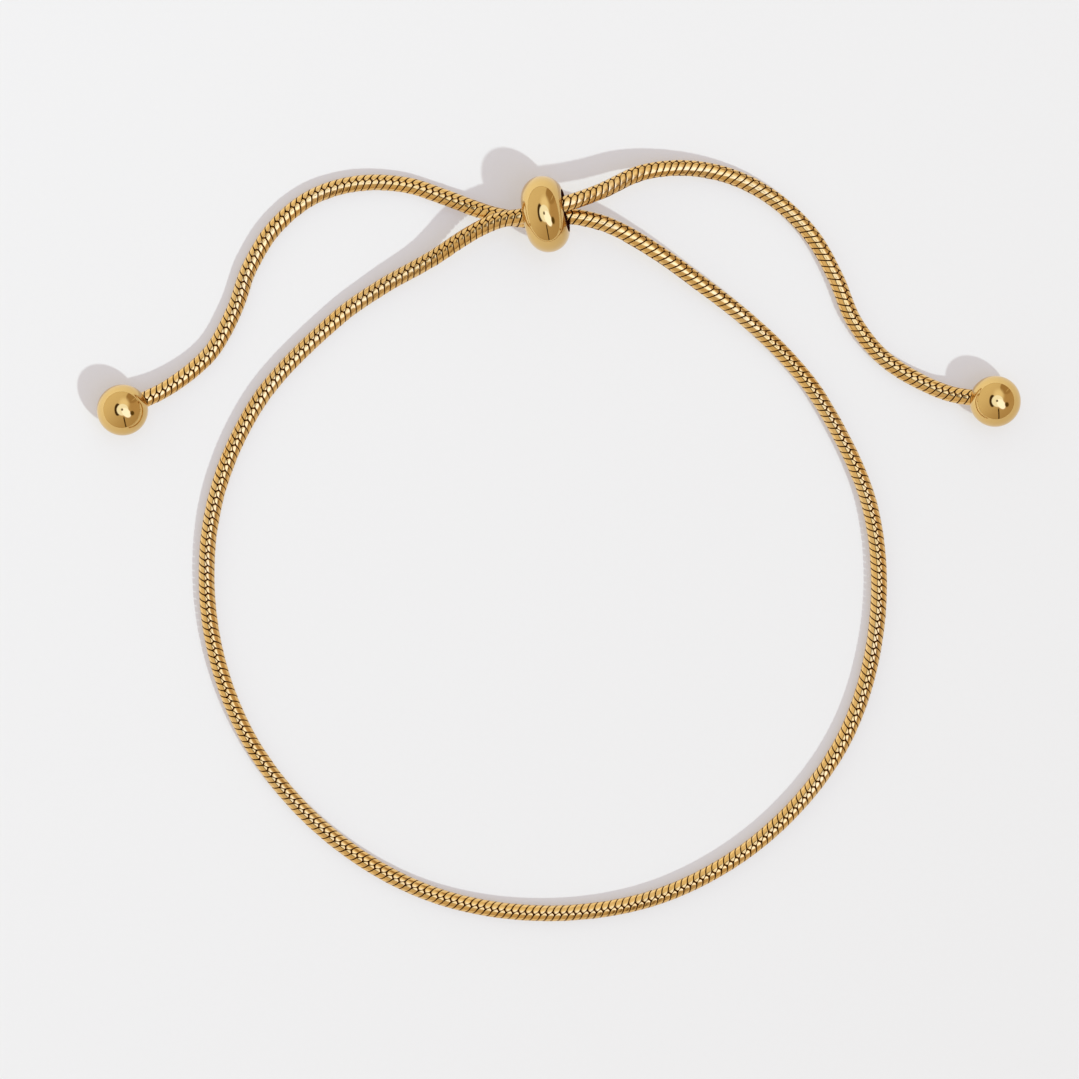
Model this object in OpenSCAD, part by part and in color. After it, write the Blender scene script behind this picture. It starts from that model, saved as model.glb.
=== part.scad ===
// Chain bracelet that lies on the plane z = 0. A round snake chain runs from ball to ball, and both of
// its strands pass through one sliding bead, which sets the size of the loop.

/* [Chain] */
// Outer diameter of the round snake chain
chain_d = 1.45; // [1.3:0.05:1.5]
// Distance between the rings of the tube that stands for the chain
ring_step = 3.8; // [3.6:0.2:3.8]

/* [End balls] */
// Diameter of each ball
ball_d = 4.6; // [4.2:0.1:4.8]
// Distance from the ball's middle to the chain's end
ball_seat = 0.9; // [0.6:0.1:1.2]
// Angle by which the chain slopes down as it leaves a ball
ball_dip = 12; // [8:1:14]
// Clearance round the chain in the ball's hole
ball_gap = 0.08; // [0.08:0.01:0.12]

/* [Sliding bead] */
// Largest diameter of the bead
bead_d = 6.9; // [6.5:0.1:7]
// Length of the bead along its bore
bead_len = 3.7; // [3.4:0.1:3.8]
// Diameter of the bore
bore_d = 3.9; // [3.8:0.05:4]
// Turn of the bore away from +X, seen from above
bead_turn = 10; // [8:1:12]
// Angle by which the bore's right mouth tips up
bead_tip = 7; // [5:1:8]

/* [Rubber stopper] */
// Diameter of the hole that grips the two strands
grip_d = 3.4; // [3.4:0.05:3.5]
// Clearance between the stopper and the bore
stopper_gap = 0.05; // [0.04:0.01:0.08]
// Depth of the stopper's faces inside the bead's mouths
stopper_recess = 0.05; // [0.02:0.01:0.2]

/* [Hidden] */

gold = "#D2A75E";
dark_rubber = "#2B1A12";
tube_sides = 8;
$fn = 96;

// Rounded crown of the bead: an arc from mouth to mouth over the largest diameter
crown_rise = (bead_d - bore_d) / 2;
crown_r = (pow(bead_len / 2, 2) + pow(crown_rise, 2)) / (2 * crown_rise);
crown_at = bead_d / 2 - crown_r;

// Middles of the balls and of the bead, each touching the plane below
left_ball = [-39.15, 11.75, ball_d / 2];
right_ball = [39.1, 12.53, ball_d / 2];
bead_middle = [-1.23, 29.24, crown_at * cos(bead_tip) + crown_r];

// Directions in plan in which the chain leaves the balls
left_turn = 27;
right_turn = 169;

// Place of a strand's middle beside the bore's axis, and the roll of the pair at the two mouths
strand_off = 0.8;
left_roll = 80;
right_roll = 50;

function pointing(turn, rise) = [cos(turn) * cos(rise), sin(turn) * cos(rise), sin(rise)];

bore_axis = pointing(bead_turn, bead_tip);
bore_side = [-sin(bead_turn), cos(bead_turn), 0];
bore_top = cross(bore_axis, bore_side);

// Point of a strand in the bore: the upper strand has side = 1 and the lower one side = -1
function in_bore(along, roll, side) =
    bead_middle + along * bore_axis + side * strand_off * (cos(roll) * bore_side + sin(roll) * bore_top);

// Route of the chain's middle line, from the left ball round the loop to the right ball
low = chain_d / 2;
lead = ball_seat + ring_step;
left_out = pointing(left_turn, -ball_dip);
right_out = pointing(right_turn, -ball_dip);
route = [
    left_ball + ball_seat * left_out,
    left_ball + lead * left_out,
    [-31.45, 16.85, low + 0.08],
    [-29.3, 20.6, low + 0.01],
    [-27.8, 24.7, low],
    [-25.5, 28.3, low],
    [-22.1, 31.0, low],
    [-17.9, 32.2, low],
    [-13.6, 32.0, low + 0.04],
    [-10.5, 31.0, low + 0.22],
    [-7.5, 29.85, low + 0.65],
    [-5.5, 29.2, low + 1.25],
    in_bore(-bead_len / 2, left_roll, -1),
    in_bore(bead_len / 2, right_roll, -1),
    [2.85, 28.75, low + 2.3],
    [4.95, 28.05, low + 2.2],
    [8.6, 26.0, low + 1.7],
    [12.95, 22.95, low + 0.85],
    [16.9, 19.9, low + 0.32],
    [20.6, 16.4, low + 0.06],
    [23.7, 12.4, low],
    [28.0, 3.0, low],
    [28.6, -7.5, low],
    [25.6, -17.9, low],
    [18.7, -26.4, low],
    [9.2, -31.9, low],
    [-1.6, -33.5, low],
    [-12.2, -31.5, low],
    [-21.4, -25.8, low],
    [-28.1, -17.5, low],
    [-31.4, -7.5, low],
    [-31.1, 3.0, low],
    [-27.1, 12.5, low],
    [-20.1, 19.9, low + 0.05],
    [-16.0, 22.8, low + 0.28],
    [-11.5, 25.3, low + 0.9],
    [-7.8, 27.6, low + 2.1],
    [-5.45, 28.65, low + 2.75],
    in_bore(-bead_len / 2, left_roll, 1),
    in_bore(bead_len / 2, right_roll, 1),
    [3.55, 31.2, low + 2.7],
    [7.5, 33.05, low + 1.5],
    [11.8, 33.5, low + 0.55],
    [16.0, 32.6, low + 0.12],
    [19.7, 30.5, low + 0.02],
    [22.8, 27.4, low],
    [24.9, 23.7, low],
    [26.6, 19.7, low + 0.02],
    [29.4, 16.3, low + 0.1],
    right_ball + lead * right_out,
    right_ball + ball_seat * right_out,
];

// Smooth curve through the route's points, whose knots stand apart as the square root of the chords
function knot(t, p, q) = t + sqrt(norm(q - p));
function mix(p, q, t_p, t_q, t) = ((t_q - t) * p + (t - t_p) * q) / (t_q - t_p);
function curve_point(p, u) =
    let(
        t1 = knot(0, p[0], p[1]),
        t2 = knot(t1, p[1], p[2]),
        t3 = knot(t2, p[2], p[3]),
        t = t1 + u * (t2 - t1),
        a1 = mix(p[0], p[1], 0, t1, t),
        a2 = mix(p[1], p[2], t1, t2, t),
        a3 = mix(p[2], p[3], t2, t3, t)
    )
    mix(mix(a1, a2, 0, t2, t), mix(a2, a3, t1, t3, t), t1, t2, t);

last = len(route) - 1;
extended = concat([2 * route[0] - route[1]], route, [2 * route[last] - route[last - 1]]);
steps = 12;
fine = concat(
    [
        for (i = [0:last - 1])
            for (j = [0:steps - 1]) curve_point([for (k = [0:3]) extended[i + k]], j / steps)
    ],
    [route[last]]
);

// Distance along the curve at each fine point, and the point at any distance
run = [
    for (i = 0, s = 0; i < len(fine); i = i + 1, s = s + (i < len(fine) ? norm(fine[i] - fine[i - 1]) : 0)) s
];
chain_length = run[len(run) - 1];
tables = [for (k = [0:2]) [for (i = [0:len(fine) - 1]) [run[i], fine[i][k]]]];
function at(s) = [for (k = [0:2]) lookup(s, tables[k])];

gaps = round(chain_length / ring_step);
rings = [for (i = [0:gaps]) at(chain_length * i / gaps)];
function unit(v) = v / norm(v);
function heading(i) = unit(rings[min(i + 1, gaps)] - rings[max(i - 1, 0)]);

// One closed tube over the rings, each square to the chain
module tube(r) {
    points = [
        for (i = [0:gaps])
            let(side = unit(cross([0, 0, 1], heading(i))), top = cross(heading(i), side))
            for (k = [0:tube_sides - 1])
                rings[i] + r * (cos(360 * k / tube_sides) * side + sin(360 * k / tube_sides) * top)
    ];
    walls = [
        for (i = [0:gaps - 1])
            for (k = [0:tube_sides - 1])
                let(a = i * tube_sides, b = a + tube_sides, n = (k + 1) % tube_sides)
                for (face = [[a + k, b + k, b + n], [a + k, b + n, a + n]]) face
    ];
    first_end = [for (k = [0:tube_sides - 1]) k];
    last_end = [for (k = [tube_sides - 1:-1:0]) gaps * tube_sides + k];
    polyhedron(points, concat(walls, [first_end, last_end]));
}

module chain() {
    color(gold) tube(chain_d / 2);
}

module on_bore() {
    translate(bead_middle) rotate([0, 90 - bead_tip, bead_turn]) children();
}

module slider_bead() {
    color(gold) on_bore() rotate_extrude()
        difference() {
            translate([crown_at, 0]) circle(crown_r);
            translate([-bead_d, -bead_d]) square([bead_d + bore_d / 2, 2 * bead_d]);
        }
}

module rubber_stopper() {
    half = bead_len / 2 - stopper_recess;
    color(dark_rubber) on_bore() rotate_extrude()
        translate([grip_d / 2, -half]) square([(bore_d - grip_d) / 2 - stopper_gap, 2 * half]);
}

// Ball with a blind hole that the chain's end stands in
module end_ball(middle, turn) {
    color(gold) translate(middle) difference() {
        sphere(d = ball_d);
        rotate([0, 90 + ball_dip, turn])
            translate([0, 0, ball_seat - ball_gap]) cylinder(h = ball_d, d = chain_d + 2 * ball_gap);
    }
}

module end_ball_left() {
    end_ball(left_ball, left_turn);
}

module end_ball_right() {
    end_ball(right_ball, right_turn);
}

chain();
slider_bead();
rubber_stopper();
end_ball_left();
end_ball_right();
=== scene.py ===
import math

import bpy
import numpy as np
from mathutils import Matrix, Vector


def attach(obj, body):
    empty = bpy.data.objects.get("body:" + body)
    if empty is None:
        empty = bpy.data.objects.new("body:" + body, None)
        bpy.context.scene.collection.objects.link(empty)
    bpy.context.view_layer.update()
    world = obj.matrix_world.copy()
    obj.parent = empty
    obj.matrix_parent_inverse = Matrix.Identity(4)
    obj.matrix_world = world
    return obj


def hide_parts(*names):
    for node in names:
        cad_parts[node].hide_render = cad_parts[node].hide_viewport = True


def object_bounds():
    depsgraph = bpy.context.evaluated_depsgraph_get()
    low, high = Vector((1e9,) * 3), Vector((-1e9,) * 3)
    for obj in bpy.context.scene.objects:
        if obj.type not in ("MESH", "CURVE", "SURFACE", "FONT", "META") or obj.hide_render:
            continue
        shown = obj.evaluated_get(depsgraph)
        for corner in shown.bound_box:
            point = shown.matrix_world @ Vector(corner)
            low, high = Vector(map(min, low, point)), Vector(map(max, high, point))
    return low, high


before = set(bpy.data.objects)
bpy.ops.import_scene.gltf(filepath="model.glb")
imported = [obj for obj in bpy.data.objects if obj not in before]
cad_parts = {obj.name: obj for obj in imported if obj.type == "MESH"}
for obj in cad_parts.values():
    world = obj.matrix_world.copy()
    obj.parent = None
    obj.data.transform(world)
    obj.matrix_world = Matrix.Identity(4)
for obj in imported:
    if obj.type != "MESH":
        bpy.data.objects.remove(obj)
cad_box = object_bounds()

bl_info = {
    "name": "Chain Bracelet with Sliding Bead",
    "version": (1, 0, 0),
    "blender": (4, 5, 0),
    "location": "3D View > Sidebar > Bracelet",
    "description": "Makes the links, the bead, the balls and the studio around the packed bracelet",
    "category": "Object",
}

MM = 0.001

# Sizes of the bracelet in millimetres and its angles in degrees, the same as in the construction model
CHAIN_D = 1.45
RING_STEP = 3.8
BALL_D = 4.6
BALL_SEAT = 0.9
BALL_DIP = 12
BALL_GAP = 0.08
BEAD_D = 6.9
BEAD_LEN = 3.7
BORE_D = 3.9
BEAD_TURN = 10
BEAD_TIP = 7
STRAND_OFF = 0.8
LEFT_ROLL = 80
RIGHT_ROLL = 50
LEFT_TURN = 27
RIGHT_TURN = 169


def linear(code):
    """Turns an sRGB hex value to linear red, green and blue."""
    parts = [int(code[i:i + 2], 16) / 255 for i in (1, 3, 5)]
    return tuple(p / 12.92 if p <= 0.04045 else ((p + 0.055) / 1.055) ** 2.4 for p in parts)


# Settings that a user would change
class ChainSettings(bpy.types.PropertyGroup):
    # The construction model's 1.45 mm, less the links' play of 0.0025 mm on each side
    thickness: bpy.props.FloatProperty(
        name="Thickness", description="Outer diameter of the snake chain",
        default=1.445 * MM, min=0.5 * MM, max=4 * MM, precision=5, unit="LENGTH", subtype="DISTANCE")
    pitch: bpy.props.FloatProperty(
        name="Link pitch", description="Distance from one link to the next along the chain",
        default=0.625 * MM, min=0.3 * MM, max=2 * MM, precision=5, unit="LENGTH", subtype="DISTANCE")
    slit: bpy.props.FloatProperty(
        name="Slit", description="Width of the slit between two links",
        default=0.085 * MM, min=0.01 * MM, max=0.2 * MM, precision=6, unit="LENGTH", subtype="DISTANCE")
    gold: bpy.props.FloatVectorProperty(
        name="Gold", description="Colour of the plated links",
        default=linear("#EDC279"), size=3, min=0, max=1, subtype="COLOR")
    # Painted shade: dark brown put deep in the slits and on the core inside the chain, where shade falls
    gap: bpy.props.FloatVectorProperty(
        name="Gaps", description="Painted shade deep between the links",
        default=linear("#3E1B00"), size=3, min=0, max=1, subtype="COLOR")


class BeadSettings(bpy.types.PropertyGroup):
    width: bpy.props.FloatProperty(
        name="Bead width", description="Largest diameter of the sliding bead",
        default=BEAD_D * MM, min=4 * MM, max=12 * MM, precision=5, unit="LENGTH", subtype="DISTANCE")
    length: bpy.props.FloatProperty(
        name="Bead length", description="Length of the bead along its bore",
        default=BEAD_LEN * MM, min=2 * MM, max=8 * MM, precision=5, unit="LENGTH", subtype="DISTANCE")
    bore: bpy.props.FloatProperty(
        name="Bore", description="Diameter of the bead's bore",
        default=BORE_D * MM, min=2 * MM, max=6 * MM, precision=5, unit="LENGTH", subtype="DISTANCE")
    ball: bpy.props.FloatProperty(
        name="End ball", description="Diameter of the ball on each end",
        default=BALL_D * MM, min=2 * MM, max=8 * MM, precision=5, unit="LENGTH", subtype="DISTANCE")
    rim: bpy.props.FloatProperty(
        name="Rim radius", description="Rounding of the edges round the bore and round the balls' holes",
        default=0.035 * MM, min=0.02 * MM, max=0.3 * MM, precision=6, unit="LENGTH", subtype="DISTANCE")
    gold: bpy.props.FloatVectorProperty(
        name="Gold", description="Colour of the mirror-polished plate",
        default=linear("#E1BC76"), size=3, min=0, max=1, subtype="COLOR")
    rubber: bpy.props.FloatVectorProperty(
        name="Rubber", description="Colour of the stopper inside the bead",
        default=linear("#2A0F0A"), size=3, min=0, max=1, subtype="COLOR")


class StudioSettings(bpy.types.PropertyGroup):
    floor: bpy.props.FloatVectorProperty(
        name="Floor", description="Colour of the acrylic top that the bracelet lies on",
        default=linear("#B2B2AC"), size=3, min=0, max=1, subtype="COLOR")
    glow: bpy.props.FloatVectorProperty(
        name="Glow", description="Light that comes up through the acrylic top",
        default=linear("#A39B98"), size=3, min=0, max=1, subtype="COLOR")
    key: bpy.props.FloatProperty(
        name="Key light", description="Strength of the lamp at the lower right",
        default=3.1, min=0, max=20)
    camera_height: bpy.props.FloatProperty(
        name="Camera height", description="Height of the camera above the floor",
        default=0.43, min=0.1, max=5, unit="LENGTH", subtype="DISTANCE")
    picture_width: bpy.props.FloatProperty(
        name="Picture width", description="Width of the picture at the height of the chain's middle",
        default=97.11 * MM, min=0.02, max=2, precision=5, unit="LENGTH", subtype="DISTANCE")


def pointing(turn, rise):
    """Unit vector that is turned in plan and raised by the two angles."""
    turn, rise = math.radians(turn), math.radians(rise)
    return np.array([math.cos(turn) * math.cos(rise), math.sin(turn) * math.cos(rise), math.sin(rise)])


# Crown of the bead: an arc from mouth to mouth over the largest diameter
CROWN_RISE = (BEAD_D - BORE_D) / 2
CROWN_R = ((BEAD_LEN / 2) ** 2 + CROWN_RISE ** 2) / (2 * CROWN_RISE)
CROWN_AT = BEAD_D / 2 - CROWN_R
# Middles of the balls and of the bead, each touching the surface, and the directions in which they point
LEFT_BALL = np.array([-39.15, 11.75, BALL_D / 2])
RIGHT_BALL = np.array([39.1, 12.53, BALL_D / 2])
BEAD_MIDDLE = np.array([-1.23, 29.24, CROWN_AT * math.cos(math.radians(BEAD_TIP)) + CROWN_R])
BORE_AXIS = pointing(BEAD_TURN, BEAD_TIP)
BORE_SIDE = np.array([-math.sin(math.radians(BEAD_TURN)), math.cos(math.radians(BEAD_TURN)), 0.0])
BORE_TOP = np.cross(BORE_AXIS, BORE_SIDE)
LEFT_OUT = pointing(LEFT_TURN, -BALL_DIP)
RIGHT_OUT = pointing(RIGHT_TURN, -BALL_DIP)


def in_bore(along, roll, side):
    """Point of a strand in the bore: side is 1 for the upper strand and -1 for the lower one."""
    roll = math.radians(roll)
    off = STRAND_OFF * (math.cos(roll) * BORE_SIDE + math.sin(roll) * BORE_TOP)
    return BEAD_MIDDLE + along * BORE_AXIS + side * off


# Height of the chain's middle where it lies on the surface, and the length of its straight lead from a ball
LOW = CHAIN_D / 2
LEAD = BALL_SEAT + RING_STEP
# Route of the chain's middle line, from the left ball round the loop to the right ball
ROUTE = [
    LEFT_BALL + BALL_SEAT * LEFT_OUT,
    LEFT_BALL + LEAD * LEFT_OUT,
    (-31.45, 16.85, LOW + 0.08),
    (-29.3, 20.6, LOW + 0.01),
    (-27.8, 24.7, LOW),
    (-25.5, 28.3, LOW),
    (-22.1, 31.0, LOW),
    (-17.9, 32.2, LOW),
    (-13.6, 32.0, LOW + 0.04),
    (-10.5, 31.0, LOW + 0.22),
    (-7.5, 29.85, LOW + 0.65),
    (-5.5, 29.2, LOW + 1.25),
    in_bore(-BEAD_LEN / 2, LEFT_ROLL, -1),
    in_bore(BEAD_LEN / 2, RIGHT_ROLL, -1),
    (2.85, 28.75, LOW + 2.3),
    (4.95, 28.05, LOW + 2.2),
    (8.6, 26.0, LOW + 1.7),
    (12.95, 22.95, LOW + 0.85),
    (16.9, 19.9, LOW + 0.32),
    (20.6, 16.4, LOW + 0.06),
    (23.7, 12.4, LOW),
    (28.0, 3.0, LOW),
    (28.6, -7.5, LOW),
    (25.6, -17.9, LOW),
    (18.7, -26.4, LOW),
    (9.2, -31.9, LOW),
    (-1.6, -33.5, LOW),
    (-12.2, -31.5, LOW),
    (-21.4, -25.8, LOW),
    (-28.1, -17.5, LOW),
    (-31.4, -7.5, LOW),
    (-31.1, 3.0, LOW),
    (-27.1, 12.5, LOW),
    (-20.1, 19.9, LOW + 0.05),
    (-16.0, 22.8, LOW + 0.28),
    (-11.5, 25.3, LOW + 0.9),
    (-7.8, 27.6, LOW + 2.1),
    (-5.45, 28.65, LOW + 2.75),
    in_bore(-BEAD_LEN / 2, LEFT_ROLL, 1),
    in_bore(BEAD_LEN / 2, RIGHT_ROLL, 1),
    (3.55, 31.2, LOW + 2.7),
    (7.5, 33.05, LOW + 1.5),
    (11.8, 33.5, LOW + 0.55),
    (16.0, 32.6, LOW + 0.12),
    (19.7, 30.5, LOW + 0.02),
    (22.8, 27.4, LOW),
    (24.9, 23.7, LOW),
    (26.6, 19.7, LOW + 0.02),
    (29.4, 16.3, LOW + 0.1),
    RIGHT_BALL + LEAD * RIGHT_OUT,
    RIGHT_BALL + BALL_SEAT * RIGHT_OUT,
]

# How far the upper corner of the seam between two rows stands left of the chain's top, seen in the
# direction from the left ball to the right ball: distance along the chain in millimetres, degrees
SEAM_ROLL = [
    (0, 6), (5, 7), (12, 9), (19, 21), (26, 25), (33, 24), (40, 25), (46, 36), (52, 46), (58, 54),
    (64, 46), (70, 27), (76, 12), (82, 13), (95, 18), (110, 10), (130, 11), (150, 5), (165, 6),
    (180, 10), (200, 8), (215, 14), (225, 22), (232, 31), (240, 41), (246, 50), (252, 54), (258, 56),
    (264, 54), (270, 44), (276, 30), (284, 17), (290, 20),
]


def curve_points(route, steps):
    """Points on the smooth curve through the route, with knots spaced by the square root of the chords."""
    pts = np.array([np.asarray(p, float) for p in route])
    pts = np.vstack([2 * pts[0] - pts[1], pts, 2 * pts[-1] - pts[-2]])
    out = []
    for a, b, c, d in zip(pts, pts[1:], pts[2:], pts[3:]):
        t1 = math.sqrt(np.linalg.norm(b - a))
        t2 = t1 + math.sqrt(np.linalg.norm(c - b))
        t3 = t2 + math.sqrt(np.linalg.norm(d - c))
        t = (t1 + (t2 - t1) * np.arange(steps) / steps)[:, None]
        ab, bc, cd = (t1 - t) / t1 * a + t / t1 * b, mixed(b, c, t1, t2, t), mixed(c, d, t2, t3, t)
        out.append(mixed(mixed(ab, bc, 0, t2, t), mixed(bc, cd, t1, t3, t), t1, t2, t))
    return np.vstack(out + [pts[-2:-1]])


def mixed(p, q, t_p, t_q, t):
    """Point between p and q at t, where p is at t_p and q is at t_q."""
    return ((t_q - t) * p + (t - t_p) * q) / (t_q - t_p)


# Fine points of the route, the distance along the chain at each, and the headings there
FINE = curve_points(ROUTE, 24)
RUN = np.concatenate([[0], np.cumsum(np.linalg.norm(np.diff(FINE, axis=0), axis=1))])
CHAIN_LENGTH = RUN[-1]
HEADINGS = np.gradient(FINE, RUN, axis=0)


def on_chain(s):
    """Middle of the chain at each distance, with its heading and the directions to its left and top."""
    middle = np.stack([np.interp(s, RUN, FINE[:, k]) for k in range(3)], -1)
    heading = np.stack([np.interp(s, RUN, HEADINGS[:, k]) for k in range(3)], -1)
    heading /= np.linalg.norm(heading, axis=-1, keepdims=True)
    left = np.cross((0.0, 0.0, 1.0), heading)
    left /= np.linalg.norm(left, axis=-1, keepdims=True)
    return middle, heading, left, np.cross(heading, left)


# Meshes
def new_piece(name, points, faces, material, smooth=None, attribute=None):
    """Object from points in millimetres and faces, with one material."""
    mesh = bpy.data.meshes.new(name)
    mesh.from_pydata((np.asarray(points) * MM).tolist(), [], faces)
    flags = np.ones(len(mesh.polygons), bool) if smooth is None else np.asarray(smooth, bool)
    mesh.polygons.foreach_set("use_smooth", flags)
    if attribute is not None:
        layer = mesh.attributes.new(attribute[0], "FLOAT", "POINT")
        layer.data.foreach_set("value", np.asarray(attribute[1], np.float32))
    mesh.materials.append(material)
    mesh.validate()
    mesh.update()
    piece = bpy.data.objects.new(name, mesh)
    bpy.context.scene.collection.objects.link(piece)
    return piece


def fit_piece(piece, node):
    """Fastens a piece to the bracelet in place of a node of the construction model."""
    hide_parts(node)
    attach(piece, "root")


def turned(profile, middle, axis, sides):
    """Points and faces of a profile of (radius, distance along the axis) turned round an axis. A profile that
    starts on the axis also ends on it, and any other one closes on itself."""
    axis = axis / np.linalg.norm(axis)
    across = np.cross(axis, (0.0, 0.0, 1.0))
    across /= np.linalg.norm(across)
    up = np.cross(across, axis)
    turn = 2 * np.pi * np.arange(sides) / sides
    spokes = np.cos(turn)[:, None] * across + np.sin(turn)[:, None] * up
    points, rings = [], []
    for radius, along in profile:
        if radius < 1e-6:
            rings.append([len(points)])
            points.append(middle + along * axis)
        else:
            rings.append(list(range(len(points), len(points) + sides)))
            points.extend(middle + along * axis + radius * spokes)
    faces = []
    for low, high in zip(rings, rings[1:] + ([] if len(rings[0]) == 1 else rings[:1])):
        for i in range(sides):
            j = (i + 1) % sides
            face = [low[i % len(low)], low[j % len(low)], high[j % len(high)], high[i % len(high)]]
            faces.append(list(dict.fromkeys(face)))
    return np.array(points), faces


def rounded(corner, start, end, count):
    """Points of a rounded corner from start to end."""
    t = np.linspace(0, 1, count)[:, None]
    corner, start, end = (np.asarray(p, float) for p in (corner, start, end))
    return (1 - t) ** 2 * start + 2 * t * (1 - t) * corner + t ** 2 * end


# One petal of a link. The links wind round the chain in three rows of petals, and each row starts two thirds
# of a pitch behind the one before. Corners are (degrees round the chain, pitches along it), and the edges
# follow in the same order.
PETAL_ROW_TURN = 120
PETAL_ROW_SHIFT = -2 / 3
PETAL_CORNERS = [(0, 1.0), (18, 0.24), (120, -0.667), (138, -0.427), (120, 0.333), (18, 1.24)]
# Sway of a petal along the chain, one wave over the turn of its row, as a share of the pitch
PETAL_SWAY = 0.042
# How far each corner is cut back along the edge before it and the edge after it, in millimetres
PETAL_CUTS = [(0.04, 0.04), (0.21, 0.23), (0.03, 0.03), (0.04, 0.04), (0.27, 0.25), (0.03, 0.03)]
# Radius at which degrees round the chain turn into millimetres
PETAL_SKIN = 0.70
# Shares of a petal's length and of its half width at which its net has lines
PETAL_ROWS = [0, .04, .08, .12, .16, .2, .26, .33, .4, .48, .56, .63, .7, .76, .81, .85, .89, .92, .96, 1]
PETAL_COLUMNS = [-1, -.9, -.7, -.3, .3, .7, .9, 1]
CREASE, SLIT, STEP = range(3)
PETAL_EDGES = [CREASE, SLIT, STEP, CREASE, SLIT, STEP]
# For each kind of edge: half its gap as a share of the slit, and the width and depth of its rolled edge
HALF_GAP = {CREASE: 0.08, SLIT: 0.5, STEP: 0.45}
ROLL_WIDTH = {CREASE: 0.07, SLIT: 0.045, STEP: 0.08}
ROLL_DEPTH = {CREASE: 0.014, SLIT: 0.012, STEP: 0.03}
# Drop of a petal's long edges below its crown, the radii of its underside and of the dark core, the share by
# which its sides lean in, and the depth at which a gap counts as fully deep
DOME = 0.007
UNDERSIDE = 0.54
CORE_R = 0.5
LEAN = 0.06
DEEP = 0.05
# Spread of a petal's play in the chain: its lift in millimetres, and its slopes round and along the chain
PETAL_PLAY = (0.0025, 0.012, 0.014)


def petal(pitch, slit, outer):
    """One petal: points (arc, along, radius) in millimetres, faces, smooth flags and depths into the gap."""
    corners = np.array([(math.radians(a) * PETAL_SKIN, p * pitch) for a, p in PETAL_CORNERS])
    ahead = np.roll(corners, -1, axis=0) - corners
    ahead /= np.linalg.norm(ahead, axis=1, keepdims=True)
    inward = np.stack([-ahead[:, 1], ahead[:, 0]], 1)
    level = (corners * inward).sum(1) + np.array([HALF_GAP[e] for e in PETAL_EDGES]) * slit
    inner = []
    for i in range(6):
        pair = np.array([inward[i - 1], inward[i]])
        inner.append(np.linalg.solve(pair, [level[i - 1], level[i]]))
    inner = np.array(inner)

    def bend(i, count=7):
        back, front = inner[i - 1] - inner[i], inner[(i + 1) % 6] - inner[i]
        start = inner[i] + PETAL_CUTS[i][0] * back / np.linalg.norm(back)
        end = inner[i] + PETAL_CUTS[i][1] * front / np.linalg.norm(front)
        return rounded((inner[i] + (start + end) / 2) / 2, start, end, count)

    lower = np.vstack([bend(0)[-1:], bend(1), bend(2), bend(3)[:1]])
    upper = np.vstack([bend(0)[:1], bend(5)[::-1], bend(4)[::-1], bend(3)[-1:]])
    sides = []
    for path in (lower, upper):
        run = np.concatenate([[0], np.cumsum(np.linalg.norm(np.diff(path, axis=0), axis=1))])
        stops = np.array(PETAL_ROWS) * run[-1]
        sides.append(np.stack([np.interp(stops, run, path[:, k]) for k in (0, 1)], 1))
    share = (np.array(PETAL_COLUMNS) + 1)[None, :, None] / 2
    grid = sides[0][:, None] * (1 - share) + sides[1][:, None] * share
    t = share[0]
    for row, i in ((0, 0), (-1, 3)):
        a, b = sides[0][row], sides[1][row]
        grid[row] = (1 - t) ** 2 * a + 2 * t * (1 - t) * inner[i] + t ** 2 * b
    radius = outer - DOME * np.abs(np.array(PETAL_COLUMNS)[None, :]) ** 2 * np.ones(grid.shape[:2])
    for i, edge in enumerate(PETAL_EDGES):
        away = (grid * inward[i]).sum(-1) - level[i]
        radius = radius - ROLL_DEPTH[edge] * np.clip(1 - away / ROLL_WIDTH[edge], 0, 1) ** 2
    rows, columns = radius.shape
    top = np.concatenate([grid, radius[..., None]], -1).reshape(-1, 3)
    number = np.arange(rows * columns).reshape(rows, columns)
    faces = [[number[r, c], number[r + 1, c], number[r + 1, c + 1], number[r, c + 1]]
             for r in range(rows - 1) for c in range(columns - 1)]
    smooth = [True] * len(faces)
    loop = list(number[:, 0]) + list(number[-1, 1:]) + list(number[-2::-1, -1]) + list(number[0, -2:0:-1])
    middle = grid.mean(1)
    under = {}
    points = list(top)
    for v in loop:
        r, c = divmod(v, columns)
        flat = grid[r, c] + LEAN * (middle[min(max(r, 2), rows - 3)] - grid[r, c])
        under[v] = len(points)
        points.append((flat[0], flat[1], UNDERSIDE))
    for a, b in zip(loop, loop[1:] + loop[:1]):
        faces.append([b, a, under[a], under[b]])
    for r in range(rows - 1):
        strip = number[r, 0], number[r, -1], number[r + 1, -1], number[r + 1, 0]
        faces.append([under[v] for v in strip])
    faces.append([under[v] for v in number[0]])
    faces.append([under[v] for v in number[-1, ::-1]])
    smooth += [False] * (len(faces) - len(smooth))
    points = np.array(points)
    middle_of_row = (PETAL_CORNERS[1][0] + PETAL_CORNERS[2][0]) / 2
    from_middle = np.degrees(points[:, 0] / PETAL_SKIN) - middle_of_row
    points[:, 1] -= PETAL_SWAY * pitch * np.sin(2 * np.pi * from_middle / PETAL_ROW_TURN)
    depth = np.clip((outer - points[:, 2]) / DEEP, 0, 1)
    return points, [[int(v) for v in f] for f in faces], smooth, depth


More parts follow.
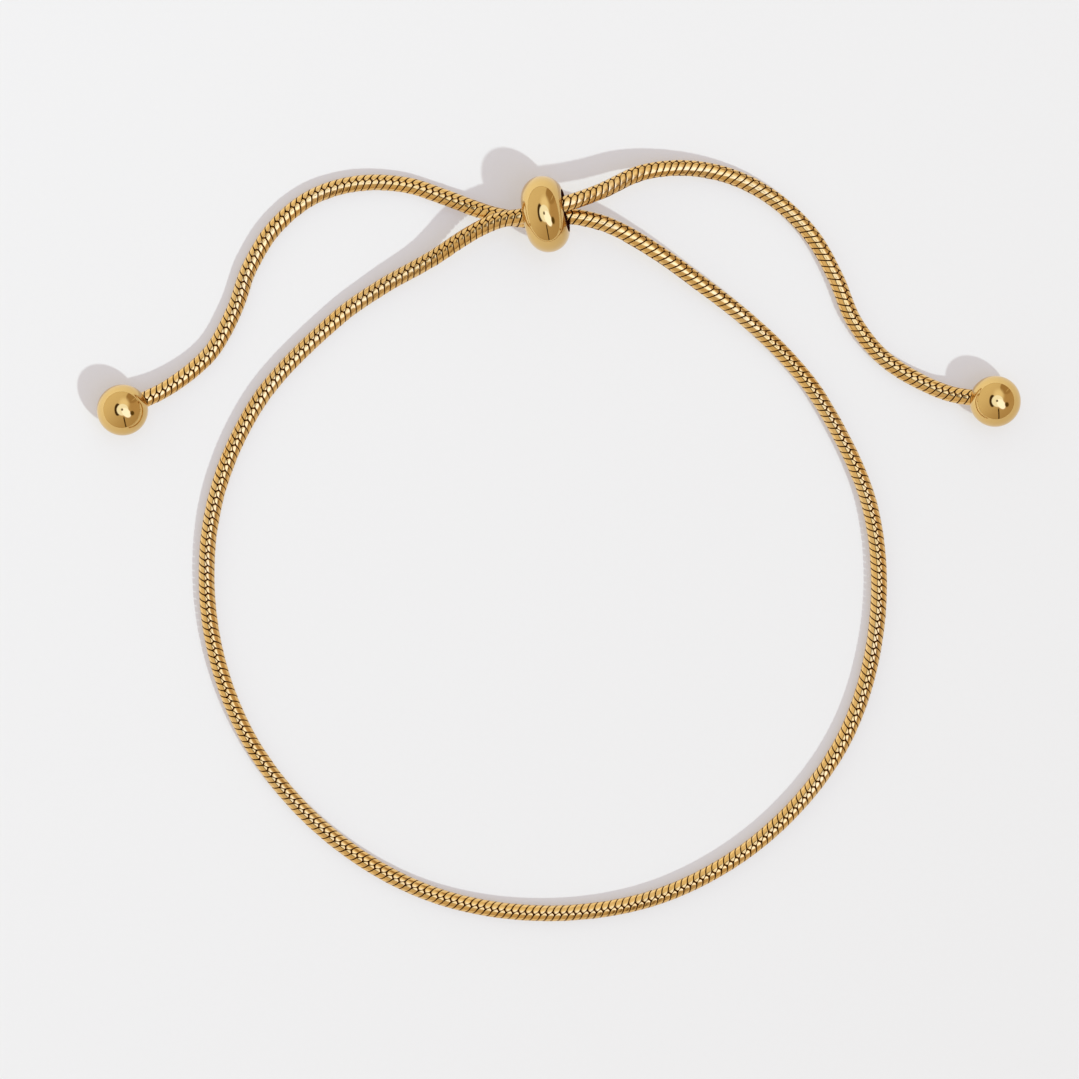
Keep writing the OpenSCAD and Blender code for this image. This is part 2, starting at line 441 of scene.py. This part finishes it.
def links(first, last, pitch, slit, outer, chance):
    """Points, faces, smooth flags and gap depths of all petals whose links start between two distances."""
    shape, faces, smooth, depth = petal(pitch, slit, outer)
    across = shape[:, 0].mean(), shape[:, 1].mean()
    all_points, all_faces = [], []
    for n in range(math.ceil(first / pitch), math.ceil(last / pitch)):
        for row in range(360 // PETAL_ROW_TURN):
            start = (n + row * PETAL_ROW_SHIFT) * pitch
            s = start + shape[:, 1]
            tilt = chance.normal(0, 1, 3) * PETAL_PLAY
            if s.min() < 0 or s.max() > CHAIN_LENGTH:
                continue
            lift = tilt[0] + tilt[1] * (shape[:, 0] - across[0]) + tilt[2] * (shape[:, 1] - across[1])
            roll = np.interp(s, *zip(*SEAM_ROLL))
            angle = np.radians(90 - roll + PETAL_ROW_TURN * row) + shape[:, 0] / PETAL_SKIN
            middle, _, left, top = on_chain(s)
            radius = (shape[:, 2] + lift)[:, None]
            points = middle + radius * (np.cos(angle)[:, None] * left + np.sin(angle)[:, None] * top)
            base = len(all_points) * len(shape)
            all_faces.extend([[v + base for v in f] for f in faces])
            all_points.append(points)
    count = len(all_points)
    return np.vstack(all_points), all_faces, smooth * count, np.tile(depth, count)


# Materials
def add_node(tree, kind, settings=None, inputs=None):
    """Adds a node with its settings. An input is a value, or the output of another node."""
    node = tree.nodes.new(kind)
    for name, value in (settings or {}).items():
        setattr(node, name, value)
    for name, value in (inputs or {}).items():
        if isinstance(value, bpy.types.NodeSocket):
            tree.links.new(value, node.inputs[name])
        else:
            node.inputs[name].default_value = value
    return node


def new_material(name):
    """Material with an empty tree and its output."""
    material = bpy.data.materials.get(name) or bpy.data.materials.new(name)
    material.use_nodes = True
    tree = material.node_tree
    tree.nodes.clear()
    return material, tree, tree.nodes.new("ShaderNodeOutputMaterial")


def colour(rgb, scale=1.0):
    """Colour with full alpha, made darker or lighter by a factor."""
    return tuple(min(max(c * scale, 0), 1) for c in rgb) + (1.0,)


def tumbled_plate_slit_shade(gold, gap):
    """Gold plate on stamped steel links, bright from tumbling: each link has a slightly different tone, wear
    leaves paler patches on the crowns, and towards the slits painted shade turns the plate brown and then
    nearly black."""
    material, tree, out = new_material("gold plated stamped steel, tumbled, painted slit shade")
    place = add_node(tree, "ShaderNodeTexCoord").outputs["Object"]
    depth = add_node(tree, "ShaderNodeAttribute", {"attribute_name": "into_gap"}).outputs["Fac"]
    # Tone that shifts every 0.9 mm, about a link and a half
    tone = add_node(tree, "ShaderNodeTexNoise", None, {
        "Vector": place, "Scale": 1 / (0.9 * MM), "Detail": 1.0})
    tones = add_node(tree, "ShaderNodeMix", {"data_type": "RGBA"}, {
        "Factor": tone.outputs["Fac"], 6: colour(gold, 0.9), 7: colour(gold, 1.1)})
    # Worn crowns, in soft patches of about 3 mm
    worn = add_node(tree, "ShaderNodeTexNoise", None, {
        "Vector": place, "Scale": 1 / (3 * MM), "Detail": 2.0})
    rubbed = add_node(tree, "ShaderNodeMapRange", {"interpolation_type": "SMOOTHSTEP"}, {
        "Value": worn.outputs["Fac"], "From Min": 0.4, "From Max": 0.7, "To Max": 0.3})
    pale = add_node(tree, "ShaderNodeMix", {"data_type": "RGBA"}, {
        "Factor": rubbed.outputs["Result"], 6: tones.outputs[2], 7: colour(linear("#EED3A0"))})
    # Painted shade by depth into the gap: brown on the rolled edges, then nearly black deep in the slit
    edge_shade = add_node(tree, "ShaderNodeMapRange", {"interpolation_type": "SMOOTHSTEP"}, {
        "Value": depth, "From Min": 0.12, "From Max": 0.34, "To Max": 0.95})
    edge_shaded = add_node(tree, "ShaderNodeMix", {"data_type": "RGBA"}, {
        "Factor": edge_shade.outputs["Result"], 6: pale.outputs[2], 7: colour(linear("#96540C"))})
    slit_shade = add_node(tree, "ShaderNodeMapRange", {"interpolation_type": "SMOOTHSTEP"}, {
        "Value": depth, "From Min": 0.34, "From Max": 0.8})
    skin = add_node(tree, "ShaderNodeMix", {"data_type": "RGBA"}, {
        "Factor": slit_shade.outputs["Result"], 6: edge_shaded.outputs[2], 7: colour(gap)})
    # Pits and rub marks of 0.05 mm from the tumbling stones, drawn at 0.12 mm so that they show
    pits = add_node(tree, "ShaderNodeTexNoise", None, {
        "Vector": place, "Scale": 1 / (0.12 * MM), "Detail": 3.0, "Roughness": 0.6})
    rough = add_node(tree, "ShaderNodeMapRange", None, {
        "Value": pits.outputs["Fac"], "From Min": 0.3, "From Max": 0.7, "To Min": 0.12, "To Max": 0.2})
    dull = add_node(tree, "ShaderNodeMath", {"operation": "MULTIPLY_ADD", "use_clamp": True}, {
        0: slit_shade.outputs["Result"], 1: 0.4, 2: rough.outputs["Result"]})
    bump = add_node(tree, "ShaderNodeBump", None, {
        "Height": pits.outputs["Fac"], "Strength": 0.25, "Distance": 0.004 * MM})
    # Metal gives way to the painted slit shade deep in the slits
    bare = add_node(tree, "ShaderNodeMath", {"operation": "SUBTRACT"}, {0: 1.0, 1: slit_shade.outputs["Result"]})
    shader = add_node(tree, "ShaderNodeBsdfPrincipled", None, {
        "Base Color": skin.outputs[2], "Metallic": bare.outputs[0], "Roughness": dull.outputs[0],
        "Specular IOR Level": 0.0, "Normal": bump.outputs[0]})
    tree.links.new(shader.outputs[0], out.inputs[0])
    return material


def mirror_plate(gold):
    """Gold plate on turned steel, mirror polished: it shows the whole room, with hairlines and a faint haze
    of handling that soften the picture in places."""
    material, tree, out = new_material("gold plated steel, mirror polished")
    place = add_node(tree, "ShaderNodeTexCoord").outputs["Object"]
    # Haze of fingers in soft patches of about 1.5 mm
    haze = add_node(tree, "ShaderNodeTexNoise", None, {
        "Vector": place, "Scale": 1 / (1.5 * MM), "Detail": 4.0, "Roughness": 0.65})
    # Hairlines of 0.03 mm, drawn 0.06 mm wide so that they show, and about thirteen times as long
    drawn = add_node(tree, "ShaderNodeMapping", None, {
        "Vector": place, "Rotation": (0.3, 0.2, 0.9),
        "Scale": (1 / (0.06 * MM), 1 / (0.8 * MM), 1 / (0.1 * MM))})
    lines = add_node(tree, "ShaderNodeTexNoise", None, {
        "Vector": drawn.outputs[0], "Scale": 1.0, "Detail": 2.0, "Roughness": 0.5})
    marks = add_node(tree, "ShaderNodeMath", {"operation": "MULTIPLY_ADD"}, {
        0: lines.outputs["Fac"], 1: 0.4, 2: haze.outputs["Fac"]})
    rough = add_node(tree, "ShaderNodeMapRange", None, {
        "Value": marks.outputs[0], "From Min": 0.45, "From Max": 1.0, "To Min": 0.02, "To Max": 0.085})
    tones = add_node(tree, "ShaderNodeMix", {"data_type": "RGBA"}, {
        "Factor": haze.outputs["Fac"], 6: colour(gold, 0.94), 7: colour(gold, 1.06)})
    bump = add_node(tree, "ShaderNodeBump", None, {
        "Height": lines.outputs["Fac"], "Strength": 0.08, "Distance": 0.002 * MM})
    shader = add_node(tree, "ShaderNodeBsdfPrincipled", None, {
        "Base Color": tones.outputs[2], "Metallic": 1.0, "Roughness": rough.outputs["Result"],
        "Normal": bump.outputs[0]})
    tree.links.new(shader.outputs[0], out.inputs[0])
    return material


def moulded_rubber(rubber):
    """Silicone rubber, moulded: dark brown, matt, with the fine grain of the mould."""
    material, tree, out = new_material("silicone rubber, moulded")
    place = add_node(tree, "ShaderNodeTexCoord").outputs["Object"]
    grain = add_node(tree, "ShaderNodeTexNoise", None, {
        "Vector": place, "Scale": 1 / (0.08 * MM), "Detail": 3.0})
    tones = add_node(tree, "ShaderNodeMix", {"data_type": "RGBA"}, {
        "Factor": grain.outputs["Fac"], 6: colour(rubber, 0.75), 7: colour(rubber, 1.35)})
    rough = add_node(tree, "ShaderNodeMapRange", None, {
        "Value": grain.outputs["Fac"], "To Min": 0.5, "To Max": 0.75})
    bump = add_node(tree, "ShaderNodeBump", None, {
        "Height": grain.outputs["Fac"], "Strength": 0.4, "Distance": 0.01 * MM})
    shader = add_node(tree, "ShaderNodeBsdfPrincipled", None, {
        "Base Color": tones.outputs[2], "Roughness": rough.outputs["Result"], "Specular IOR Level": 0.0,
        "Normal": bump.outputs[0]})
    tree.links.new(shader.outputs[0], out.inputs[0])
    return material


def core_painted_shade(gap):
    """Inner side of the links in painted shade: dull, blackish brown, seen only through the slits."""
    material, tree, out = new_material("steel links, inner side, painted shade")
    place = add_node(tree, "ShaderNodeTexCoord").outputs["Object"]
    grain = add_node(tree, "ShaderNodeTexNoise", None, {
        "Vector": place, "Scale": 1 / (0.2 * MM), "Detail": 2.0})
    tones = add_node(tree, "ShaderNodeMix", {"data_type": "RGBA"}, {
        "Factor": grain.outputs["Fac"], 6: colour(gap, 0.25), 7: colour(gap, 0.7)})
    rough = add_node(tree, "ShaderNodeMapRange", None, {
        "Value": grain.outputs["Fac"], "To Min": 0.45, "To Max": 0.7})
    bump = add_node(tree, "ShaderNodeBump", None, {
        "Height": grain.outputs["Fac"], "Strength": 0.3, "Distance": 0.01 * MM})
    shader = add_node(tree, "ShaderNodeBsdfPrincipled", None, {
        "Base Color": tones.outputs[2], "Specular IOR Level": 0.0, "Roughness": rough.outputs["Result"],
        "Normal": bump.outputs[0]})
    tree.links.new(shader.outputs[0], out.inputs[0])
    return material


def sanded_acrylic(floor, glow):
    """Top of a light table in opal acrylic, sanded matt: flat white with no gloss and a hardly visible grain,
    and lit a little from below, so that shadows stay pale right up to the metal."""
    material, tree, out = new_material("opal acrylic, sanded")
    place = add_node(tree, "ShaderNodeTexCoord").outputs["Object"]
    grain = add_node(tree, "ShaderNodeTexNoise", None, {
        "Vector": place, "Scale": 1 / (0.5 * MM), "Detail": 2.0})
    tones = add_node(tree, "ShaderNodeMix", {"data_type": "RGBA"}, {
        "Factor": grain.outputs["Fac"], 6: colour(floor, 0.99), 7: colour(floor, 1.01)})
    shader = add_node(tree, "ShaderNodeBsdfDiffuse", None, {"Color": tones.outputs[2], "Roughness": 1.0})
    below = add_node(tree, "ShaderNodeEmission", None, {"Color": colour(glow), "Strength": 1.0})
    both = add_node(tree, "ShaderNodeAddShader", None, {0: shader.outputs[0], 1: below.outputs[0]})
    tree.links.new(both.outputs[0], out.inputs[0])
    return material


# Operators
# Stretches of links by the distances along the chain in millimetres between which they start
STRETCHES = [
    ("links_left_tail", 0.0, 47.0),
    ("links_loop_right", 47.0, 108.0),
    ("links_loop_front", 108.0, 170.0),
    ("links_loop_left", 170.0, 236.0),
    ("links_right_tail", 236.0, 300.0),
]


class BRACELET_OT_links(bpy.types.Operator):
    """Make the links of the snake chain, in five stretches"""

    bl_idname = "bracelet.links"
    bl_label = "Chain Links"

    def execute(self, context):
        chain = context.scene.bracelet_chain
        material = tumbled_plate_slit_shade(chain.gold, chain.gap)
        chance = np.random.default_rng(11)
        for name, first, last in STRETCHES:
            points, faces, smooth, depth = links(
                first, last, chain.pitch / MM, chain.slit / MM, chain.thickness / MM / 2, chance)
            piece = new_piece(name, points, faces, material, smooth, ("into_gap", depth))
            fit_piece(piece, "chain")
        return {"FINISHED"}


class BRACELET_OT_core(bpy.types.Operator):
    """Make the inner side of the links, dark with painted shade, which closes the view through the slits"""

    bl_idname = "bracelet.core"
    bl_label = "Chain Core"

    def execute(self, context):
        sides, spacing = 20, 0.8
        s = np.linspace(0, CHAIN_LENGTH, round(CHAIN_LENGTH / spacing))
        middle, _, left, top = on_chain(s)
        turn = 2 * np.pi * np.arange(sides) / sides
        ring = np.cos(turn)[None, :, None] * left[:, None] + np.sin(turn)[None, :, None] * top[:, None]
        points = (middle[:, None] + CORE_R * ring).reshape(-1, 3)
        number = np.arange(len(points)).reshape(-1, sides)
        faces = [[int(a[i]), int(a[(i + 1) % sides]), int(b[(i + 1) % sides]), int(b[i])]
                 for a, b in zip(number, number[1:]) for i in range(sides)]
        faces += [[int(v) for v in number[0][::-1]], [int(v) for v in number[-1]]]
        piece = new_piece("chain_core_painted_shade", points, faces, core_painted_shade(context.scene.bracelet_chain.gap))
        fit_piece(piece, "chain")
        return {"FINISHED"}


class BRACELET_OT_bead(bpy.types.Operator):
    """Make the sliding bead, a crowned ring with softened mouths"""

    bl_idname = "bracelet.bead"
    bl_label = "Sliding Bead"

    def execute(self, context):
        sides, arc_points, lip_points, wall_points = 160, 61, 9, 13
        bead = context.scene.bracelet_bead
        half, bore, rim = bead.length / MM / 2, bead.bore / MM / 2, bead.rim / MM
        rise = bead.width / MM / 2 - bore
        crown = (half ** 2 + rise ** 2) / (2 * rise)
        at = bead.width / MM / 2 - crown
        # The crown's arc stops short of the face, and a rounded lip leads from there into the bore
        short = 0.02
        reach = math.asin((half - short) / crown) - rim / crown
        turns = np.linspace(-reach, reach, arc_points)
        arc = [(at + crown * math.cos(a), crown * math.sin(a)) for a in turns]
        mouth = rounded((bore, half), arc[-1], (bore, half - rim), lip_points)
        wall = [(bore, z) for z in np.linspace(half - rim, rim - half, wall_points)[1:-1]]
        other = [(r, -z) for r, z in mouth[::-1]]
        profile = arc + [tuple(p) for p in mouth[1:]] + wall + other[:-1]
        points, faces = turned(profile, BEAD_MIDDLE, BORE_AXIS, sides)
        piece = new_piece("slider_bead_polished", points, faces, mirror_plate(bead.gold))
        fit_piece(piece, "slider_bead")
        return {"FINISHED"}


# Stopper in millimetres: half its length, its outer radius, the radius of its hole round each strand, the
# least radius of the hole elsewhere, and the thinnest wall. Each mouth widens by the lip's rise over the
# lip's length. The outer edges pass through points of (back from the face, in from the outer wall).
STOPPER_HALF = 1.845
STOPPER_R = 1.91
STRAND_HOLE_R = 0.76
STOPPER_HOLLOW = 0.22
STOPPER_WALL = 0.1
LIP_RISE = 0.08
LIP_LEN = 0.25
STOPPER_EDGE = [(0.0, 0.03), (0.01, 0.01), (0.03, 0.0)]


class BRACELET_OT_stopper(bpy.types.Operator):
    """Make the rubber stopper, moulded round the two strands inside the bead"""

    bl_idname = "bracelet.stopper"
    bl_label = "Rubber Stopper"

    def execute(self, context):
        sides, stations = 96, 15
        half, outer, snug = STOPPER_HALF, STOPPER_R, STRAND_HOLE_R
        turn = 2 * np.pi * np.arange(sides) / sides
        spokes = np.cos(turn)[:, None] * BORE_SIDE + np.sin(turn)[:, None] * BORE_TOP
        # Only points of the chain within this distance from the bead's middle can lie in its bore
        nearby = 6
        inner_rings = []
        for along in np.linspace(-half, half, stations):
            far = (FINE - BEAD_MIDDLE) @ BORE_AXIS - along
            near = np.linalg.norm(FINE - BEAD_MIDDLE, axis=1) < nearby
            crossing = np.nonzero((far[:-1] * far[1:] <= 0) & near[:-1])[0]
            strands = []
            for i in crossing:
                f = far[i] / (far[i] - far[i + 1])
                off = FINE[i] + f * (FINE[i + 1] - FINE[i]) - BEAD_MIDDLE
                strands.append((off @ BORE_SIDE, off @ BORE_TOP))
            hole = np.full(sides, STOPPER_HOLLOW)
            for x, y in strands:
                towards = x * np.cos(turn) + y * np.sin(turn)
                beside = x * np.sin(turn) - y * np.cos(turn)
                reach = towards + np.sqrt(np.maximum(snug ** 2 - beside ** 2, 0))
                hole = np.where((np.abs(beside) < snug) & (towards > 0), np.maximum(hole, reach), hole)
            lip = LIP_RISE * max(0, (abs(along) - half + LIP_LEN) / LIP_LEN) ** 2
            middle = BEAD_MIDDLE + along * BORE_AXIS
            inner_rings.append(middle + np.minimum(hole + lip, outer - STOPPER_WALL)[:, None] * spokes)
        right_edge = [(half - back, outer - inset) for back, inset in STOPPER_EDGE]
        left_edge = [(-along, radius) for along, radius in right_edge[::-1]]
        rings = inner_rings + [
            BEAD_MIDDLE + along * BORE_AXIS + radius * spokes for along, radius in right_edge + left_edge]
        points = np.vstack(rings)
        faces = []
        for a in range(len(rings)):
            b = (a + 1) % len(rings)
            for i in range(sides):
                j = (i + 1) % sides
                faces.append([a * sides + j, a * sides + i, b * sides + i, b * sides + j])
        rubber = moulded_rubber(context.scene.bracelet_bead.rubber)
        piece = new_piece("stopper_moulded", points, faces, rubber)
        fit_piece(piece, "rubber_stopper")
        return {"FINISHED"}


class BRACELET_OT_balls(bpy.types.Operator):
    """Make the two end balls, each with the softened hole that the chain's end stands in"""

    bl_idname = "bracelet.balls"
    bl_label = "End Balls"

    def execute(self, context):
        sides, arc_points, lip_points, wall_points = 128, 73, 7, 5
        bead = context.scene.bracelet_bead
        material = mirror_plate(bead.gold)
        radius, rim = bead.ball / MM / 2, bead.rim / MM
        hole = CHAIN_D / 2 + BALL_GAP
        end = math.pi - math.asin((hole + rim) / radius)
        ball = [(radius * math.sin(a), -radius * math.cos(a)) for a in np.linspace(0, end, arc_points)]
        mouth = math.sqrt(radius ** 2 - hole ** 2)
        lip = rounded((hole, mouth), ball[-1], (hole, mouth - rim), lip_points)
        floor = BALL_SEAT - BALL_GAP
        wall = [(hole, z) for z in np.linspace(mouth - rim, floor, wall_points)[1:]]
        profile = ball + [tuple(p) for p in lip[1:]] + wall + [(0.0, floor)]
        ends = [("end_ball_left", LEFT_BALL, LEFT_OUT), ("end_ball_right", RIGHT_BALL, RIGHT_OUT)]
        for name, middle, out in ends:
            points, faces = turned(profile, middle, out, sides)
            piece = new_piece(name + "_polished", points, faces, material)
            fit_piece(piece, name)
        return {"FINISHED"}


# Light in the tent as a mirror ball shows it from above, in ball radii: dark at the lower right and light at
# the upper left, with patches over it. A patch is its shape, its middle (across, up), its half sizes, its
# turn in degrees, its softness and its colour, and it lies over the patches before it.
TENT_DARK = (0.54, 0.43, 0.30)
TENT_LIGHT = (0.86, 0.81, 0.71)
TENT_PATCHES = [
    ("round", (0.49, 0.20), (0.21, 0.36), 0, 0.5, (0.56, 0.43, 0.29)),
    ("round", (0.39, 0.49), (0.22, 0.23), 0, 0.12, (0.44, 0.32, 0.19)),
    ("round", (0.465, 0.43), (0.11, 0.012), 45, 0.6, (0.72, 0.62, 0.48)),
    ("round", (0.09, 0.22), (0.18, 0.22), 0, 0.5, (1.05, 1.05, 1.05)),
    ("round", (-0.15, 0.0), (0.12, 0.24), 0, 0.1, (0.07, 0.045, 0.016)),
    ("round", (0.045, -0.005), (0.225, 0.225), 0, 0.08, (1.2, 1.45, 2.1)),
    ("round", (0.19, -0.12), (0.215, 0.14), -51, 0.12, (1.5, 1.8, 3.0)),
    ("round", (0.415, -0.135), (0.078, 0.09), 0, 0.3, (0.12, 0.08, 0.02)),
    ("square", (0.12, -0.50), (0.026, 0.21), 8, 0.15, (0.08, 0.05, 0.015)),
    ("round", (0.03, 0.0), (0.045, 0.045), 0, 0.4, (0.20, 0.20, 0.18)),
]
# Colour of the tent's foot, its share at the horizon, and the height at which it is gone
TENT_FOOT = (0.36, 0.26, 0.14)
TENT_FOOT_SHARE = 0.5
TENT_FOOT_HEIGHT = 0.05
# Key light: its colour, the direction that it comes from and its width in degrees
KEY_COLOUR = (0.81, 0.93, 1.0)
KEY_FROM = (0.66, -0.64, 1.0)
KEY_WIDTH = 2
# Place over which the camera hangs, and the floor's radius, in millimetres
CAMERA_OVER = (-1.755, 0.135)
FLOOR_REACH = 4000.0


def light_tent():
    """World whose light is painted on the picture that a mirror ball gives of the whole tent."""
    world = bpy.data.worlds.new("light tent")
    world.use_nodes = True
    tree = world.node_tree
    tree.nodes.clear()
    look = add_node(tree, "ShaderNodeTexCoord").outputs["Generated"]
    height = add_node(tree, "ShaderNodeSeparateXYZ", None, {0: look}).outputs["Z"]
    # The ball shows direction (x, y, z) at (x, y) / sqrt(2 + 2 z), kept finite straight down
    doubled = add_node(tree, "ShaderNodeMath", {"operation": "MULTIPLY_ADD"}, {
        0: height, 1: 2.0, 2: 2.001})
    shrink = add_node(tree, "ShaderNodeMath", {"operation": "POWER"}, {0: doubled.outputs[0], 1: -0.5})
    ball = add_node(tree, "ShaderNodeVectorMath", {"operation": "SCALE"}, {
        0: look, "Scale": shrink.outputs[0]}).outputs[0]
    slope = add_node(tree, "ShaderNodeVectorMath", {"operation": "DOT_PRODUCT"}, {
        0: ball, 1: (-1.0, 1.0, 0.0)})
    share = add_node(tree, "ShaderNodeMapRange", {"interpolation_type": "SMOOTHSTEP"}, {
        "Value": slope.outputs["Value"], "From Min": -1.0, "From Max": 0.9})
    light = add_node(tree, "ShaderNodeMix", {"data_type": "RGBA"}, {
        "Factor": share.outputs["Result"], 6: TENT_DARK + (1.0,), 7: TENT_LIGHT + (1.0,)}).outputs[2]
    # The third scale is so large that only the place (across, up) counts
    for shape, (u, v), (wide, tall), turn, soft, tint in TENT_PATCHES:
        far = add_node(tree, "ShaderNodeMapping", {"vector_type": "TEXTURE"}, {
            "Vector": ball, "Location": (u, v, 0.0), "Rotation": (0.0, 0.0, math.radians(turn)),
            "Scale": (wide, tall, 1000.0)}).outputs[0]
        if shape == "round":
            far = add_node(tree, "ShaderNodeVectorMath", {"operation": "LENGTH"}, {0: far}).outputs["Value"]
        else:
            both = add_node(tree, "ShaderNodeVectorMath", {"operation": "ABSOLUTE"}, {0: far})
            apart = add_node(tree, "ShaderNodeSeparateXYZ", None, {0: both.outputs[0]})
            far = add_node(tree, "ShaderNodeMath", {"operation": "MAXIMUM"}, {
                0: apart.outputs[0], 1: apart.outputs[1]}).outputs[0]
        inside = add_node(tree, "ShaderNodeMapRange", {"interpolation_type": "SMOOTHSTEP"}, {
            "Value": far, "From Min": 1 + soft, "From Max": 1 - soft})
        light = add_node(tree, "ShaderNodeMix", {"data_type": "RGBA"}, {
            "Factor": inside.outputs["Result"], 6: light, 7: tint + (1.0,)}).outputs[2]
    foot = add_node(tree, "ShaderNodeMapRange", {"interpolation_type": "SMOOTHSTEP"}, {
        "Value": height, "From Min": TENT_FOOT_HEIGHT, "From Max": 0.0, "To Max": TENT_FOOT_SHARE})
    light = add_node(tree, "ShaderNodeMix", {"data_type": "RGBA"}, {
        "Factor": foot.outputs["Result"], 6: light, 7: TENT_FOOT + (1.0,)}).outputs[2]
    glow = add_node(tree, "ShaderNodeBackground", None, {"Color": light, "Strength": 1.0})
    out = tree.nodes.new("ShaderNodeOutputWorld")
    tree.links.new(glow.outputs[0], out.inputs[0])
    return world


def key_light(strength):
    """Lamp that casts the shadows, and that no polished piece mirrors."""
    lamp = bpy.data.lights.new("key light", "SUN")
    lamp.energy = strength
    lamp.angle = math.radians(KEY_WIDTH)
    lamp.color = KEY_COLOUR
    key = bpy.data.objects.new("key light", lamp)
    key.rotation_euler = Vector(KEY_FROM).to_track_quat("Z", "Y").to_euler()
    key.visible_glossy = False
    return key


def camera_above(height, picture_width):
    """Camera that looks straight down and sees the given width at the height of the chain's middle."""
    camera = bpy.data.objects.new("camera", bpy.data.cameras.new("camera"))
    camera.location = (CAMERA_OVER[0] * MM, CAMERA_OVER[1] * MM, height)
    camera.data.sensor_fit = "HORIZONTAL"
    camera.data.angle = 2 * math.atan(picture_width / 2 / (height - LOW * MM))
    camera.data.clip_start = 0.01
    return camera


class BRACELET_OT_studio(bpy.types.Operator):
    """Make the acrylic floor, the light tent, the key light and the camera"""

    bl_idname = "bracelet.studio"
    bl_label = "Studio"

    def execute(self, context):
        scene = context.scene
        studio = scene.bracelet_studio
        level = cad_box[0][2] / MM
        sides = 64
        turn = 2 * np.pi * np.arange(sides) / sides
        rim = np.stack([FLOOR_REACH * np.cos(turn), FLOOR_REACH * np.sin(turn), np.full(sides, level)], 1)
        floor = new_piece("floor", rim, [list(range(sides))], sanded_acrylic(studio.floor, studio.glow))
        scene.world = light_tent()
        scene.collection.objects.link(key_light(studio.key))
        camera = camera_above(studio.camera_height, studio.picture_width)
        scene.collection.objects.link(camera)
        scene.camera = camera
        scene.view_settings.view_transform = "Standard"
        scene.view_settings.look = "None"
        return {"FINISHED"}


class BRACELET_PT_panel(bpy.types.Panel):
    bl_label = "Bracelet"
    bl_idname = "BRACELET_PT_panel"
    bl_space_type = "VIEW_3D"
    bl_region_type = "UI"
    bl_category = "Bracelet"

    def draw(self, context):
        for name, _ in SETTINGS:
            settings = getattr(context.scene, name)
            box = self.layout.box()
            for setting in settings.__annotations__:
                box.prop(settings, setting)
        for operator in OPERATORS:
            self.layout.operator(operator.bl_idname)


SETTINGS = [
    ("bracelet_chain", ChainSettings),
    ("bracelet_bead", BeadSettings),
    ("bracelet_studio", StudioSettings),
]
OPERATORS = [
    BRACELET_OT_studio, BRACELET_OT_core, BRACELET_OT_links, BRACELET_OT_bead, BRACELET_OT_stopper,
    BRACELET_OT_balls,
]


def register():
    for name, group in SETTINGS:
        bpy.utils.register_class(group)
        setattr(bpy.types.Scene, name, bpy.props.PointerProperty(type=group))
    for cls in OPERATORS + [BRACELET_PT_panel]:
        bpy.utils.register_class(cls)


def unregister():
    for cls in reversed(OPERATORS + [BRACELET_PT_panel]):
        bpy.utils.unregister_class(cls)
    for name, group in reversed(SETTINGS):
        delattr(bpy.types.Scene, name)
        bpy.utils.unregister_class(group)


def main():
    register()
    for operator in OPERATORS:
        group, name = operator.bl_idname.split(".")
        getattr(getattr(bpy.ops, group), name)()


if __name__ == "__main__":
    main()
